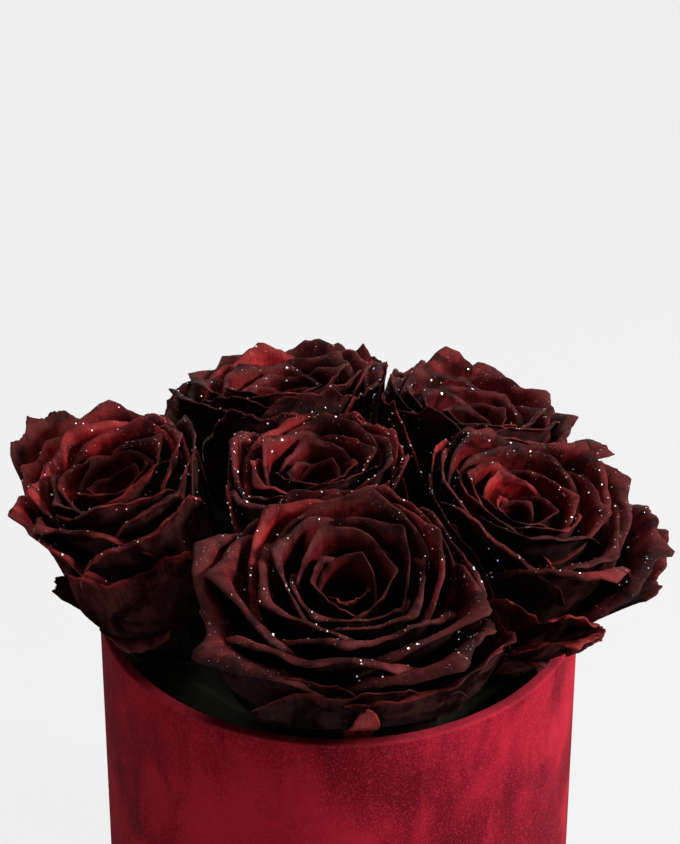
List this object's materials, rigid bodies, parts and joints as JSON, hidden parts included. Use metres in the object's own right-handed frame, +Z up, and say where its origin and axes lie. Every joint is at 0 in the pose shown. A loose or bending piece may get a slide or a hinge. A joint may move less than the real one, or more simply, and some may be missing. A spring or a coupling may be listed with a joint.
{
  "type": "flower box",
  "caption": "Round suede-covered flower box, open at the top, holding large preserved dark red roses and leaves in dry foam.",
  "frame": {"origin": "centre of the box's underside, on the table", "axes": "+Z up out of the box, -Y towards the viewer's front with the largest rose, +X to the viewer's right"},
  "size_m": [0.2001, 0.1837, 0.2127],
  "materials": {
    "greyboard": "raw grey bookbinder's board",
    "suede": "crimson microsuede with a brushed nap",
    "black_paper": "matt black lining paper",
    "dry_foam": "dark green dry floral foam",
    "leaf": "preserved leaf, dark olive green, satin",
    "stem": "dried green stem",
    "petal": "preserved petal, deep burgundy with fine glitter",
    "petal_back": "back of a preserved petal, dark brown burgundy"
  },
  "bodies": {
    "root": {"board_wall": "greyboard", "base_board": "greyboard", "suede_cover": "suede", "lining": "black_paper", "base_cover": "suede", "foam": "dry_foam", "leaves": "leaf", "front_rose_stem": "stem", "front_rose_hip": "stem", "front_rose_sepals": "leaf", "front_rose_heart": "petal", "front_rose_inner_petals": "petal", "front_rose_middle_petals": "petal", "front_rose_outer_petals": "petal", "front_rose_guard_petals": "petal_back", "right_rose_stem": "stem", "right_rose_hip": "stem", "right_rose_sepals": "leaf", "right_rose_heart": "petal", "right_rose_inner_petals": "petal", "right_rose_middle_petals": "petal", "right_rose_outer_petals": "petal", "right_rose_guard_petals": "petal_back", "back_right_rose_stem": "stem", "back_right_rose_hip": "stem", "back_right_rose_sepals": "leaf", "back_right_rose_heart": "petal", "back_right_rose_inner_petals": "petal", "back_right_rose_middle_petals": "petal", "back_right_rose_outer_petals": "petal", "back_right_rose_guard_petals": "petal_back", "back_left_rose_stem": "stem", "back_left_rose_hip": "stem", "back_left_rose_sepals": "leaf", "back_left_rose_heart": "petal", "back_left_rose_inner_petals": "petal", "back_left_rose_middle_petals": "petal", "back_left_rose_outer_petals": "petal", "back_left_rose_guard_petals": "petal_back", "left_rose_stem": "stem", "left_rose_hip": "stem", "left_rose_sepals": "leaf", "left_rose_heart": "petal", "left_rose_inner_petals": "petal", "left_rose_middle_petals": "petal", "left_rose_outer_petals": "petal", "left_rose_guard_petals": "petal_back", "centre_rose_stem": "stem", "centre_rose_hip": "stem", "centre_rose_sepals": "leaf", "centre_rose_heart": "petal", "centre_rose_inner_petals": "petal", "centre_rose_middle_petals": "petal", "centre_rose_outer_petals": "petal", "centre_rose_guard_petals": "petal_back"}
  },
  "joints": []
}
